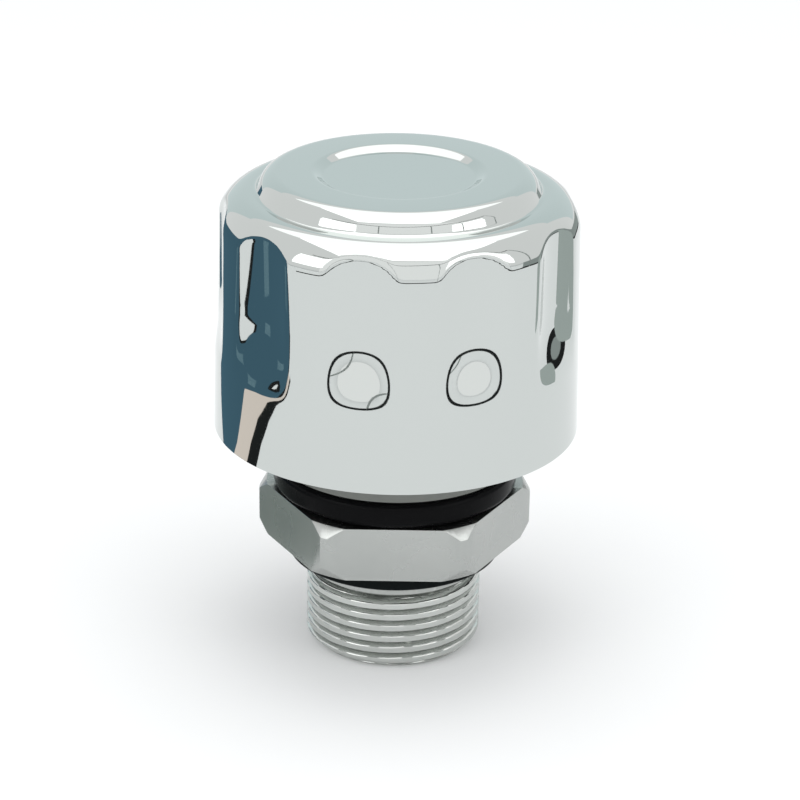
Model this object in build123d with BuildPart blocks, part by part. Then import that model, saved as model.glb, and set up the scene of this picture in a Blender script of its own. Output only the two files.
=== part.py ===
"""Breather cap for an oil tank: a fluted drawn cap over a pleated air filter.

The cap assembly screws by hand into a hexagon adapter, and the adapter's
parallel pipe thread screws into the tank. Inside the cap stands a pressure
valve with a suction valve in its centre.

Every size is in millimetres. The origin is the centre of the tank face that
the lower seal rests on, and +Z points up through the cap.
"""

import os
from math import atan, cos, degrees, pi, radians, sin, tan

from build123d import *

# Adapter: the G 3/4 connection and the spanner hexagon
thread_major = 26.441
tank_thread_length = 14.6
tank_bore = 18.0
land_length = 2.3
undercut_width = 0.9
undercut_depth = 0.75
undercut_slope = 0.25
thread_end_chamfer = 1.3
hex_across_flats = 36.0
hex_height = 8.3
hex_chamfer_angle = 30.0
hex_turned_diameter = 40.9
hex_land_diameter = 33.6
cap_socket_diameter = 28.0
cap_socket_depth = 5.8

# Rubber seals
lower_seal_thickness = 2.7
lower_seal_outer = 32.2
lower_seal_rounding = 0.5
upper_seal_thickness = 4.0
upper_seal_bulge = 0.25
upper_seal_rounding = 0.9

# Neck collar that joins the cap to the adapter
collar_over_flats = 0.05
collar_edge_chamfer = 0.4
spigot_chamfer = 0.8
collar_height = 7.5
collar_bore = 17.0
boss_diameter = 22.0
boss_height = 4.5

# Drawn cap shell
shell_thickness = 0.8
rim_above_seal = 5.9
rim_diameter = 54.2
wall_draft = 1.5
wall_height = 31.2
shoulder_radius = 4.8
shoulder_blend = 0.8
shoulder_flat = 0.7
ring_width = 6.9
ring_rise = 2.8
ring_round = 2.2
ring_slope = 0.5
recess_depth = 0.8
recess_diameter = 22.8
recess_slope = 1.4
recess_blend = 1.0
crest_round = 1.6
flute_count = 10
flute_depth = 1.6
flute_radius = 12.0
flute_bottom_above_rim = 8.0
flute_edge_round = 1.0
first_flute_angle = -101.5

# Base plate with its air slots
plate_thickness = 1.2
plate_flange_height = 4.0
slot_count = 10
slot_land = 1.2
slot_width = 3.0
slot_share = 0.72

# Clamp nut on the collar boss
nut_wall = 3.2
nut_height = 2.8
nut_notch = 2.6
nut_notch_count = 4

# Filter element
filter_outer = 41.0
core_inner = 29.6
element_height = 24.0
sheet = 0.5
end_cap_thickness = 0.7
end_cap_lip = 2.0
felt_inset = 0.2
core_row_count = 4
core_column_count = 8
core_hole = 3.0
screen_sheet = 0.3
screen_window_count = 12
screen_window_share = 0.75
pleat_count = 32
pleat_paper = 0.45
felt_thickness = 1.0

# Pressure valve and suction valve
seat_bore = 12.6
seat_flange_width = 2.2
seat_flange_height = 1.5
seat_spigot_length = 4.0
seat_lip_height = 0.8
seat_lip_width = 0.8
seal_sheet = 0.8
seal_inset = 0.3
pressure_plate_overlap = 1.7
pressure_plate_thickness = 1.0
pressure_wire = 0.9
pressure_coils = 3.5
pressure_spring_diameter = 13.6
suction_port_circle = 7.4
suction_port_diameter = 1.7
suction_port_count = 6
suction_disc_diameter = 10.8
suction_disc_thickness = 0.6
suction_head_thickness = 0.6
suction_head_inset = 0.6
stem_diameter = 2.0
stem_above_plate = 6.0
suction_wire = 0.4
suction_spring_diameter = 3.6
suction_coils = 4.0
clip_diameter = 4.6
clip_thickness = 0.6
clip_below_end = 0.5
cage_sheet = 0.7
cage_seam = 0.8
cage_inside_height = 10.5
cage_hole = 9.0
cage_window_count = 4
cage_window_share = 0.6
cage_window_sill = 0.8
cage_window_head = 1.5

# Splash screen in the adapter bore
screen_thickness = 0.8
screen_below_socket = 4.0
screen_hole = 1.6
screen_ring_pitch = 3.0
screen_ring_count = 2
screen_first_ring_count = 6
snap_wire = 1.0
snap_gap_angle = 40.0

# Hold-down spring between the element and the shell
hold_wire = 1.2
hold_bottom_diameter = 20.0
hold_top_diameter = 12.0
hold_coils = 2.5

# Clearances
screw_fit = 0.05
slide_fit = 0.08
air_gap = 0.3
assembly_gap = 0.1
cut_past = 1.0

# Heights that follow from the sizes above
hex_low = lower_seal_thickness
hex_high = hex_low + hex_height
socket_floor = hex_high - cap_socket_depth
screen_low = socket_floor - screen_below_socket
collar_low = hex_high + upper_seal_thickness
collar_high = collar_low + collar_height
boss_high = collar_high + boss_height
rim_low = collar_low + rim_above_seal
plate_high = collar_high + plate_thickness
wall_high = rim_low + wall_height
flat_high = wall_high + shoulder_radius
ring_high = flat_high + ring_rise
recess_high = ring_high - recess_depth
felt_high = plate_high + felt_thickness
element_low = felt_high + end_cap_thickness
element_high = element_low + element_height
seat_low = boss_high - seat_spigot_length
seat_high = boss_high + seat_flange_height
lip_high = seat_high + seat_lip_height
pressure_low = lip_high + seal_sheet
pressure_high = pressure_low + pressure_plate_thickness
disc_low = pressure_low - suction_disc_thickness
head_low = disc_low - suction_head_thickness
stem_high = pressure_high + stem_above_plate
clip_low = stem_high - clip_thickness - clip_below_end
cage_high = seat_high + cage_inside_height
cage_roof = cage_high - cage_sheet
lid_high = element_high + end_cap_thickness

# Radii that follow from the sizes above
rim_radius = rim_diameter / 2
wall_top_radius = rim_radius - wall_height * sin(radians(wall_draft))
flute_reference = (rim_radius + wall_top_radius) / 2
ring_base_radius = wall_top_radius - shoulder_radius - shoulder_flat
ring_crest_radius = ring_base_radius - ring_slope
ring_inner_radius = ring_crest_radius - ring_width
recess_radius = ring_inner_radius - recess_slope
neck_radius = thread_major / 2 - undercut_depth
collar_outer = hex_across_flats + 2 * collar_over_flats
upper_seal_outer = collar_outer + 2 * upper_seal_bulge
plate_radius = rim_radius - shell_thickness - (plate_high + plate_flange_height - rim_low) * tan(
    radians(wall_draft)
)
slot_outer = 2 * (plate_radius - plate_thickness - slot_land)
slot_inner = slot_outer - 2 * slot_width
nut_outer = boss_diameter + 2 * nut_wall
seat_flange = collar_bore + 2 * seat_flange_width
cage_outer = seat_flange + 2 * (cage_sheet + cage_seam)
pressure_plate_diameter = seat_bore + 2 * (seat_lip_width + pressure_plate_overlap)
pressure_seal_inner = suction_disc_diameter + 2 * air_gap
pressure_seal_outer = pressure_plate_diameter - 2 * seal_inset
media_inner = core_inner / 2 + sheet + assembly_gap
media_outer = filter_outer / 2 - 2 * sheet - 2 * assembly_gap
screen_outer = filter_outer - 2 * sheet - 2 * assembly_gap


def section(points):
    """Returns a closed half-section standing on the XZ plane."""
    with BuildSketch(Plane.XZ) as face:
        with BuildLine():
            Polyline(*points, close=True)
        make_face()
    return face.sketch


def ring_section(inner, outer, low, high):
    """Returns the half-section of a plain ring, from its two diameters."""
    a, b = inner / 2, outer / 2
    return section([(a, low), (b, low), (b, high), (a, high)])


def arc_slot(inner, outer, span, middle, low, high):
    """Returns a curved slot cutter between two diameters and two heights."""
    steps = [middle - span / 2 + span * i / 8 for i in range(9)]
    far = [(outer / 2 * cos(radians(a)), outer / 2 * sin(radians(a))) for a in steps]
    near = [(inner / 2 * cos(radians(a)), inner / 2 * sin(radians(a))) for a in steps]
    with BuildPart() as cutter:
        with BuildSketch(Plane.XY.offset(low)):
            with BuildLine():
                Polyline(*far, *reversed(near), close=True)
            make_face()
        extrude(amount=high - low)
    return cutter.part


def spring(wire, diameter, turns, low, high, top_diameter=None):
    """Returns a round-wire coil spring that just fits between two heights."""
    rise = high - low - wire
    top = diameter if top_diameter is None else top_diameter
    lean = degrees(atan((top - diameter) / 2 / rise))
    with BuildPart() as coil:
        with BuildLine() as path:
            Helix(
                pitch=rise / turns,
                height=rise,
                radius=diameter / 2,
                center=(0, 0, low + wire / 2),
                cone_angle=lean,
            )
        with BuildSketch(Plane(origin=path.line @ 0, z_dir=path.line % 0)):
            Circle(wire / 2)
        sweep()
    return coil.part


def shell_section(inset):
    """Returns the cap's half-section, moved inwards by a sheet thickness."""
    high = flat_high - inset
    crest = ring_high - inset
    floor = recess_high - inset
    corners = [
        ((wall_top_radius - inset, high), shoulder_radius - inset),
        ((ring_base_radius - inset, high), shoulder_blend + inset),
        ((ring_crest_radius - inset, crest), ring_round - inset),
        ((ring_inner_radius + inset, crest), crest_round - inset),
        ((recess_radius + inset, floor), recess_blend + inset),
    ]
    base = rim_low if inset == 0 else rim_low - cut_past
    with BuildSketch(Plane.XZ) as face:
        with BuildLine():
            Polyline(
                (0, base),
                (rim_radius - inset, base),
                *[point for point, _ in corners],
                (0, floor),
                close=True,
            )
        make_face()
        for point, radius in corners:
            fillet(face.vertices().sort_by_distance((point[0], point[1], 0))[0], radius)
    return face.sketch


def flute_cutters(radius):
    """Returns the round-ended cutters that press the flutes in."""
    reach = flute_reference - flute_depth + flute_radius
    bottom = rim_low + flute_bottom_above_rim
    with BuildPart() as cutters:
        with PolarLocations(reach, flute_count, start_angle=first_flute_angle):
            with Locations((0, 0, bottom + flute_radius)):
                Sphere(radius)
                Cylinder(radius, ring_high, align=(Align.CENTER, Align.CENTER, Align.MIN))
    return cutters.part


# Hexagon adapter with its pipe thread's plain cylinder, undercut and bores
with BuildPart() as hex_adapter:
    with BuildSketch(Plane.XY.offset(hex_low)):
        RegularPolygon(hex_across_flats / 2, 6, major_radius=False)
    extrude(amount=hex_height)
    turned = hex_turned_diameter / 2
    land = hex_land_diameter / 2
    drop = (turned - land) * tan(radians(hex_chamfer_angle))
    cone = section(
        [
            (0, hex_low),
            (land, hex_low),
            (turned, hex_low + drop),
            (turned, hex_high - drop),
            (land, hex_high),
            (0, hex_high),
        ]
    )
    revolve(cone, axis=Axis.Z, mode=Mode.INTERSECT)
    major = thread_major / 2
    tail = -tank_thread_length
    shank = section(
        [
            (0, hex_low),
            (major, hex_low),
            (major, -land_length),
            (neck_radius, -land_length - undercut_slope),
            (neck_radius, -land_length - undercut_width + undercut_slope),
            (major, -land_length - undercut_width),
            (major, tail + thread_end_chamfer),
            (major - thread_end_chamfer, tail),
            (0, tail),
        ]
    )
    revolve(shank, axis=Axis.Z)
    with Locations((0, 0, tail)):
        Cylinder(
            tank_bore / 2,
            tank_thread_length + hex_high,
            align=(Align.CENTER, Align.CENTER, Align.MIN),
            mode=Mode.SUBTRACT,
        )
    with Locations((0, 0, socket_floor)):
        Cylinder(
            cap_socket_diameter / 2,
            cap_socket_depth,
            align=(Align.CENTER, Align.CENTER, Align.MIN),
            mode=Mode.SUBTRACT,
        )
hex_adapter.part.label = "hex_adapter"

# Lower seal, seated between the hexagon and the tank
with BuildPart() as lower_seal:
    revolve(
        ring_section(thread_major + 2 * slide_fit, lower_seal_outer, 0, lower_seal_thickness),
        axis=Axis.Z,
    )
    rims = lower_seal.edges().filter_by(GeomType.CIRCLE).group_by(SortBy.RADIUS)[-1]
    fillet(rims, lower_seal_rounding)
lower_seal.part.label = "lower_seal"

# Upper seal, a thick rubber ring between the hexagon and the collar
with BuildPart() as upper_seal_ring:
    revolve(
        ring_section(
            cap_socket_diameter + 2 * slide_fit,
            upper_seal_outer,
            hex_high,
            hex_high + upper_seal_thickness,
        ),
        axis=Axis.Z,
    )
    rims = upper_seal_ring.edges().filter_by(GeomType.CIRCLE).group_by(SortBy.RADIUS)[-1]
    fillet(rims, upper_seal_rounding)
upper_seal_ring.part.label = "upper_seal_ring"

# Splash screen and its snap ring in the adapter bore
with BuildPart() as splash_screen:
    with Locations((0, 0, screen_low)):
        Cylinder(
            tank_bore / 2,
            screen_thickness,
            align=(Align.CENTER, Align.CENTER, Align.MIN),
        )
        for ring in range(1, screen_ring_count + 1):
            with PolarLocations(ring * screen_ring_pitch, ring * screen_first_ring_count):
                Cylinder(screen_hole / 2, 4 * screen_thickness, mode=Mode.SUBTRACT)
splash_screen.part.label = "splash_screen"

with BuildPart() as screen_snap_ring:
    snap_low = screen_low - snap_wire
    revolve(
        ring_section(tank_bore - 2 * snap_wire, tank_bore, snap_low, screen_low),
        axis=Axis.Z,
        revolution_arc=360 - snap_gap_angle,
    )
screen_snap_ring.part.label = "screen_snap_ring"

# Neck collar with the threaded spigot below and the boss above
spigot_low = socket_floor + air_gap
with BuildPart() as neck_collar:
    bore = collar_bore / 2
    spigot = cap_socket_diameter / 2 - screw_fit
    flange = collar_outer / 2
    boss = boss_diameter / 2
    body = section(
        [
            (bore, spigot_low),
            (spigot - spigot_chamfer, spigot_low),
            (spigot, spigot_low + spigot_chamfer),
            (spigot, collar_low),
            (flange - collar_edge_chamfer, collar_low),
            (flange, collar_low + collar_edge_chamfer),
            (flange, collar_high),
            (boss, collar_high),
            (boss, boss_high),
            (bore, boss_high),
        ]
    )
    revolve(body, axis=Axis.Z)
neck_collar.part.label = "neck_collar"

# Base plate that carries the element, with air slots and an upturned flange
with BuildPart() as base_plate:
    edge = plate_radius - screw_fit
    top = plate_high + plate_flange_height
    plate = section(
        [
            (boss_diameter / 2, collar_high),
            (edge, collar_high),
            (edge, top),
            (edge - plate_thickness, top),
            (edge - plate_thickness, plate_high),
            (boss_diameter / 2, plate_high),
        ]
    )
    revolve(plate, axis=Axis.Z)
    for index in range(slot_count):
        add(
            arc_slot(
                slot_inner,
                slot_outer,
                360 / slot_count * slot_share,
                360 / slot_count * index,
                collar_high - cut_past,
                plate_high + cut_past,
            ),
            mode=Mode.SUBTRACT,
        )
base_plate.part.label = "base_plate"

# Fluted cap shell, drawn from sheet: outside form less the inset inside form
with BuildPart() as cap_shell:
    revolve(shell_section(0), axis=Axis.Z)
    smooth = cap_shell.edges()
    add(flute_cutters(flute_radius), mode=Mode.SUBTRACT)
    lips = cap_shell.edges() - smooth
    fillet(lips, flute_edge_round)
    with BuildPart(mode=Mode.PRIVATE) as hollow:
        revolve(shell_section(shell_thickness), axis=Axis.Z)
        add(flute_cutters(flute_radius + shell_thickness), mode=Mode.SUBTRACT)
    add(hollow.part, mode=Mode.SUBTRACT)
cap_shell.part.label = "cap_shell"

# Round nut that clamps the base plate on the collar boss, with spanner notches
with BuildPart() as collar_nut:
    revolve(
        ring_section(boss_diameter, nut_outer, plate_high, plate_high + nut_height),
        axis=Axis.Z,
    )
    with PolarLocations(nut_outer / 2, nut_notch_count):
        with Locations((0, 0, plate_high)):
            Box(
                nut_notch,
                nut_notch,
                nut_height,
                align=(Align.CENTER, Align.CENTER, Align.MIN),
                mode=Mode.SUBTRACT,
            )
collar_nut.part.label = "collar_nut"

# Felt ring under the filter element
with BuildPart() as filter_felt:
    revolve(
        ring_section(core_inner, filter_outer - 2 * felt_inset, plate_high, felt_high),
        axis=Axis.Z,
    )
filter_felt.part.label = "filter_felt"

# Filter element: end caps, perforated core, pleated media and outer screen
with BuildPart() as filter_bottom_cap:
    channel = section(
        [
            (core_inner / 2, felt_high),
            (filter_outer / 2, felt_high),
            (filter_outer / 2, element_low + end_cap_lip),
            (filter_outer / 2 - sheet, element_low + end_cap_lip),
            (filter_outer / 2 - sheet, element_low),
            (core_inner / 2, element_low),
        ]
    )
    revolve(channel, axis=Axis.Z)
filter_bottom_cap.part.label = "filter_bottom_cap"

with BuildPart() as filter_top_cap:
    lid = section(
        [
            (0, element_high),
            (filter_outer / 2 - sheet, element_high),
            (filter_outer / 2 - sheet, element_high - end_cap_lip),
            (filter_outer / 2, element_high - end_cap_lip),
            (filter_outer / 2, lid_high),
            (0, lid_high),
        ]
    )
    revolve(lid, axis=Axis.Z)
filter_top_cap.part.label = "filter_top_cap"

with BuildPart() as filter_core:
    revolve(
        ring_section(core_inner, core_inner + 2 * sheet, element_low, element_high),
        axis=Axis.Z,
    )
    for row in range(core_row_count):
        level = element_low + element_height * (row + 0.5) / core_row_count
        with Locations((0, 0, level)):
            with PolarLocations(core_inner / 2, core_column_count, start_angle=180 / core_column_count * (row % 2)):
                Cylinder(
                    core_hole / 2,
                    4 * sheet,
                    rotation=(0, 90, 0),
                    mode=Mode.SUBTRACT,
                )
filter_core.part.label = "filter_core"

with BuildPart() as filter_media:
    step = 360 / (2 * pleat_count)
    paper = pleat_paper / sin(atan(pi * media_inner / pleat_count / (media_outer - media_inner)))
    crests = []
    valleys = []
    for fold in range(2 * pleat_count):
        turn = radians(step * fold)
        peak = media_outer if fold % 2 == 0 else media_inner + paper
        dip = media_outer - paper if fold % 2 == 0 else media_inner
        crests.append((peak * cos(turn), peak * sin(turn)))
        valleys.append((dip * cos(turn), dip * sin(turn)))
    with BuildSketch(Plane.XY.offset(element_low)):
        with BuildLine():
            Polyline(*crests, close=True)
        make_face()
        with BuildLine():
            Polyline(*valleys, close=True)
        make_face(mode=Mode.SUBTRACT)
    extrude(amount=element_height)
filter_media.part.label = "filter_media"

with BuildPart() as filter_screen:
    revolve(
        ring_section(screen_outer - 2 * screen_sheet, screen_outer, element_low, element_high),
        axis=Axis.Z,
    )
    for index in range(screen_window_count):
        add(
            arc_slot(
                screen_outer - 4 * screen_sheet,
                screen_outer + 2 * sheet,
                360 / screen_window_count * screen_window_share,
                360 / screen_window_count * index,
                element_low + 2 * end_cap_lip,
                element_high - 2 * end_cap_lip,
            ),
            mode=Mode.SUBTRACT,
        )
filter_screen.part.label = "filter_screen"

# Conical spring that holds the element down from inside the cap
with BuildPart() as hold_down_spring:
    add(
        spring(
            hold_wire,
            hold_bottom_diameter,
            hold_coils,
            lid_high,
            recess_high - shell_thickness - assembly_gap,
            hold_top_diameter,
        )
    )
hold_down_spring.part.label = "hold_down_spring"

# Valve seat pressed into the collar bore, with a raised lip
with BuildPart() as valve_seat:
    lip = seat_bore / 2 + seat_lip_width
    seat = section(
        [
            (seat_bore / 2, seat_low),
            (collar_bore / 2, seat_low),
            (collar_bore / 2, boss_high),
            (seat_flange / 2, boss_high),
            (seat_flange / 2, seat_high),
            (lip, seat_high),
            (lip, lip_high),
            (seat_bore / 2, lip_high),
        ]
    )
    revolve(seat, axis=Axis.Z)
valve_seat.part.label = "valve_seat"

# Pressure valve: plate with suction ports, and its rubber seal below
port_centre = suction_port_circle / 2
guide_hole = stem_diameter / 2 + slide_fit
with BuildPart() as pressure_plate:
    revolve(
        ring_section(2 * guide_hole, pressure_plate_diameter, pressure_low, pressure_high),
        axis=Axis.Z,
    )
    with Locations((0, 0, pressure_low)):
        with PolarLocations(port_centre, suction_port_count):
            Cylinder(
                suction_port_diameter / 2,
                4 * pressure_plate_thickness,
                mode=Mode.SUBTRACT,
            )
pressure_plate.part.label = "pressure_plate"

with BuildPart() as pressure_seal:
    revolve(
        ring_section(
            pressure_seal_inner,
            pressure_seal_outer,
            lip_high,
            pressure_low,
        ),
        axis=Axis.Z,
    )
pressure_seal.part.label = "pressure_seal"

# Suction valve: rubber disc carried on a headed stem through the plate
with BuildPart() as suction_stem:
    stem = stem_diameter / 2
    head = suction_disc_diameter / 2 - suction_head_inset
    pin = section(
        [
            (0, head_low),
            (head, head_low),
            (head, disc_low),
            (stem, disc_low),
            (stem, stem_high),
            (0, stem_high),
        ]
    )
    revolve(pin, axis=Axis.Z)
suction_stem.part.label = "suction_stem"

with BuildPart() as suction_seal:
    revolve(
        ring_section(stem_diameter, suction_disc_diameter, disc_low, pressure_low),
        axis=Axis.Z,
    )
suction_seal.part.label = "suction_seal"

with BuildPart() as stem_clip:
    revolve(
        ring_section(stem_diameter, clip_diameter, clip_low, clip_low + clip_thickness),
        axis=Axis.Z,
    )
stem_clip.part.label = "stem_clip"

with BuildPart() as suction_spring:
    add(
        spring(
            suction_wire,
            suction_spring_diameter,
            suction_coils,
            pressure_high,
            clip_low,
        )
    )
suction_spring.part.label = "suction_spring"

# Cage over the valves, spun onto the seat flange, with air windows
with BuildPart() as valve_cage:
    wall = cage_outer / 2
    cover = section(
        [
            (seat_flange / 2, boss_high),
            (wall, boss_high),
            (wall, cage_high),
            (cage_hole / 2, cage_high),
            (cage_hole / 2, cage_roof),
            (wall - cage_sheet, cage_roof),
            (wall - cage_sheet, seat_high),
            (seat_flange / 2, seat_high),
        ]
    )
    revolve(cover, axis=Axis.Z)
    for index in range(cage_window_count):
        add(
            arc_slot(
                seat_flange,
                cage_outer + 2 * cut_past,
                360 / cage_window_count * cage_window_share,
                360 / cage_window_count * (index + 0.5),
                seat_high + cage_window_sill,
                cage_roof - cage_window_head,
            ),
            mode=Mode.SUBTRACT,
        )
valve_cage.part.label = "valve_cage"

with BuildPart() as pressure_spring:
    add(
        spring(
            pressure_wire,
            pressure_spring_diameter,
            pressure_coils,
            pressure_high,
            cage_roof,
        )
    )
pressure_spring.part.label = "pressure_spring"

os.makedirs("parts", exist_ok=True)
export_step(hex_adapter.part, "parts/hex_adapter.step")
export_step(lower_seal.part, "parts/lower_seal.step")
export_step(upper_seal_ring.part, "parts/upper_seal_ring.step")
export_step(splash_screen.part, "parts/splash_screen.step")
export_step(screen_snap_ring.part, "parts/screen_snap_ring.step")
export_step(neck_collar.part, "parts/neck_collar.step")
export_step(base_plate.part, "parts/base_plate.step")
export_step(cap_shell.part, "parts/cap_shell.step")
export_step(collar_nut.part, "parts/collar_nut.step")
export_step(filter_felt.part, "parts/filter_felt.step")
export_step(filter_bottom_cap.part, "parts/filter_bottom_cap.step")
export_step(filter_top_cap.part, "parts/filter_top_cap.step")
export_step(filter_core.part, "parts/filter_core.step")
export_step(filter_media.part, "parts/filter_media.step")
export_step(filter_screen.part, "parts/filter_screen.step")
export_step(hold_down_spring.part, "parts/hold_down_spring.step")
export_step(valve_seat.part, "parts/valve_seat.step")
export_step(pressure_plate.part, "parts/pressure_plate.step")
export_step(pressure_seal.part, "parts/pressure_seal.step")
export_step(pressure_spring.part, "parts/pressure_spring.step")
export_step(suction_stem.part, "parts/suction_stem.step")
export_step(suction_seal.part, "parts/suction_seal.step")
export_step(suction_spring.part, "parts/suction_spring.step")
export_step(stem_clip.part, "parts/stem_clip.step")
export_step(valve_cage.part, "parts/valve_cage.step")
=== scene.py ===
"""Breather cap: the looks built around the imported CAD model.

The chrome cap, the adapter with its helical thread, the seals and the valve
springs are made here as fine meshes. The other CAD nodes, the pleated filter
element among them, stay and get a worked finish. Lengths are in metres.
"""

import logging
import math
from dataclasses import dataclass
from enum import Enum

import bmesh
import bpy
from mathutils import Matrix, Vector


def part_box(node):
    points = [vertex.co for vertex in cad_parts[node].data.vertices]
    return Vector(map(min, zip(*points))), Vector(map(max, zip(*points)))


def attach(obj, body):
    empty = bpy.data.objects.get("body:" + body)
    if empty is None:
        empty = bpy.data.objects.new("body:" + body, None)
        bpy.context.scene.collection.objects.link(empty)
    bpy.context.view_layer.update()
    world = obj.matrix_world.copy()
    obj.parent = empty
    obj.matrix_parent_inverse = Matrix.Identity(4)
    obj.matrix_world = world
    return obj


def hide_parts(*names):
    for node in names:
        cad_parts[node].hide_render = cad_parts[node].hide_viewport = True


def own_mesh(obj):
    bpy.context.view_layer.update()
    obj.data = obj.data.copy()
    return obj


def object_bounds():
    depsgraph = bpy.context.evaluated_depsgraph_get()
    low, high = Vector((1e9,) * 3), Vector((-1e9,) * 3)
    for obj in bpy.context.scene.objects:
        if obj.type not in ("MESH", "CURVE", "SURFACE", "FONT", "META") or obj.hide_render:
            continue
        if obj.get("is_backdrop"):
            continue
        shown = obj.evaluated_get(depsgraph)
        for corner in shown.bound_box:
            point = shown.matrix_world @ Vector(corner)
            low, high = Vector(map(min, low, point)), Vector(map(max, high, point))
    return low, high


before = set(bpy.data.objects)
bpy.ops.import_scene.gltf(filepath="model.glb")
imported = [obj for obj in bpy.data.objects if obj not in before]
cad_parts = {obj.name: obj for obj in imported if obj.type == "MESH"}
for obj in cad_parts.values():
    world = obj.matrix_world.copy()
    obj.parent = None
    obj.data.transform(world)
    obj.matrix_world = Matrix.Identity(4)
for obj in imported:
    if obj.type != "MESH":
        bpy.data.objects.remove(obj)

MM = 0.001
TINY = 1e-7
GRAIN_DEPTH = 0.05 * MM
PLATE_WAVE = 0.4 * MM
RUBBER_GLOSS = 0.04
# Share of a finish's colour left in its hollows, which the wear group darkens.
HOLLOW_SHARE = 0.35
LOG = logging.getLogger("breather_cap")


class Slot(Enum):
    """The record's material slots."""

    CAP_CHROME = "cap_chrome"
    PLATED_HEX = "plated_hex"
    COLLAR_METAL = "collar_metal"
    RUBBER_UPPER = "rubber_upper"
    RUBBER_LOWER = "rubber_lower"
    RUBBER_VALVE = "rubber_valve"
    STAINLESS_SHEET = "stainless_sheet"
    ZINC_SHEET = "zinc_sheet"
    TINPLATE = "tinplate"
    SPRING_WIRE = "spring_wire"
    VALVE_BRASS = "valve_brass"
    FILTER_PAPER = "filter_paper"
    FELT = "felt"


class Marking(Enum):
    """The kind of fine texture that a finish shows."""

    POLISHED = "polished"
    TURNED = "turned"
    ROLLED = "rolled"
    MOULDED = "moulded"
    FIBROUS = "fibrous"


@dataclass(frozen=True)
class Finish:
    """One surface finish.

    Attributes:
        slot: The record's slot that the finish belongs to.
        colour: Base colour, linear.
        worn: Colour where the surface is rubbed or dusty.
        metallic: 1 for bare or plated metal, 0 otherwise.
        roughness: Middle roughness.
        spread: How far the roughness varies.
        marking: The fine texture.
        scale: Size of that texture, in repeats per metre.
        depth: Strength of the bump.
        label: The material's name where it isn't the slot's.
    """

    slot: Slot
    colour: tuple[float, float, float]
    worn: tuple[float, float, float]
    metallic: float
    roughness: float
    spread: float
    marking: Marking
    scale: float
    depth: float
    label: str = ""

    @property
    def name(self) -> str:
        """The material's name."""
        return self.label or self.slot.value


# The thread wears the hex's plating in a lighter colour, which is painted light.
LIGHTER_THREAD_FINISH = "plated_thread_painted_light"
FINISHES = (
    Finish(
        Slot.CAP_CHROME, (0.565, 0.592, 0.578), (0.54, 0.565, 0.555), 1, 0.04, 0.03, Marking.POLISHED, 60, 0.02
    ),
    Finish(
        Slot.PLATED_HEX, (0.36, 0.375, 0.365), (0.62, 0.63, 0.61), 1, 0.27, 0.10, Marking.ROLLED, 1100, 0.10
    ),
    # The hex's plating again, in a lighter colour: painted light on the thread.
    Finish(
        Slot.PLATED_HEX, (0.58, 0.60, 0.58), (0.70, 0.71, 0.69), 1, 0.24, 0.10, Marking.TURNED, 1500, 0.06,
        LIGHTER_THREAD_FINISH,
    ),
    Finish(
        Slot.COLLAR_METAL, (0.115, 0.125, 0.115), (0.20, 0.205, 0.195), 1, 0.34, 0.10, Marking.TURNED, 3200, 0.15
    ),
    Finish(
        Slot.RUBBER_UPPER, (0.004, 0.004, 0.0045), (0.010, 0.011, 0.011), 0, 0.26, 0.14, Marking.MOULDED, 1400, 0.06
    ),
    Finish(
        Slot.RUBBER_LOWER, (0.004, 0.006, 0.006), (0.012, 0.015, 0.015), 0, 0.32, 0.14, Marking.MOULDED, 1400, 0.06
    ),
    Finish(Slot.RUBBER_VALVE, (0.018, 0.018, 0.02), (0.05, 0.05, 0.05), 0, 0.5, 0.12, Marking.MOULDED, 1800, 0.1),
    Finish(Slot.STAINLESS_SHEET, (0.50, 0.50, 0.49), (0.62, 0.62, 0.6), 1, 0.28, 0.1, Marking.ROLLED, 1400, 0.08),
    Finish(Slot.ZINC_SHEET, (0.50, 0.52, 0.54), (0.58, 0.58, 0.52), 1, 0.3, 0.14, Marking.ROLLED, 1100, 0.08),
    Finish(Slot.TINPLATE, (0.58, 0.58, 0.55), (0.66, 0.65, 0.6), 1, 0.26, 0.12, Marking.ROLLED, 1500, 0.07),
    Finish(Slot.SPRING_WIRE, (0.38, 0.38, 0.38), (0.55, 0.54, 0.52), 1, 0.26, 0.12, Marking.ROLLED, 3000, 0.1),
    Finish(Slot.VALVE_BRASS, (0.66, 0.46, 0.20), (0.80, 0.60, 0.30), 1, 0.26, 0.12, Marking.TURNED, 3600, 0.1),
    Finish(Slot.FILTER_PAPER, (0.66, 0.53, 0.32), (0.72, 0.60, 0.40), 0, 0.92, 0.05, Marking.FIBROUS, 2600, 0.35),
    Finish(Slot.FELT, (0.12, 0.115, 0.11), (0.20, 0.19, 0.18), 0, 0.97, 0.02, Marking.FIBROUS, 3400, 0.6),
)


def new_group(name: str, inputs: dict[str, float], outputs: dict[str, str]) -> bpy.types.NodeTree:
    """Makes an empty shader node group with named float inputs.

    Args:
        name: The group's name.
        inputs: Each input's name and default.
        outputs: Each output's name and socket type.

    Returns:
        The group, with its Group Input and Group Output nodes.
    """
    tree = bpy.data.node_groups.new(name, "ShaderNodeTree")
    for label, value in inputs.items():
        socket = tree.interface.new_socket(label, in_out="INPUT", socket_type="NodeSocketFloat")
        socket.default_value = value
    for label, kind in outputs.items():
        tree.interface.new_socket(label, in_out="OUTPUT", socket_type=kind)
    tree.nodes.new("NodeGroupInput")
    tree.nodes.new("NodeGroupOutput")
    return tree


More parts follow.
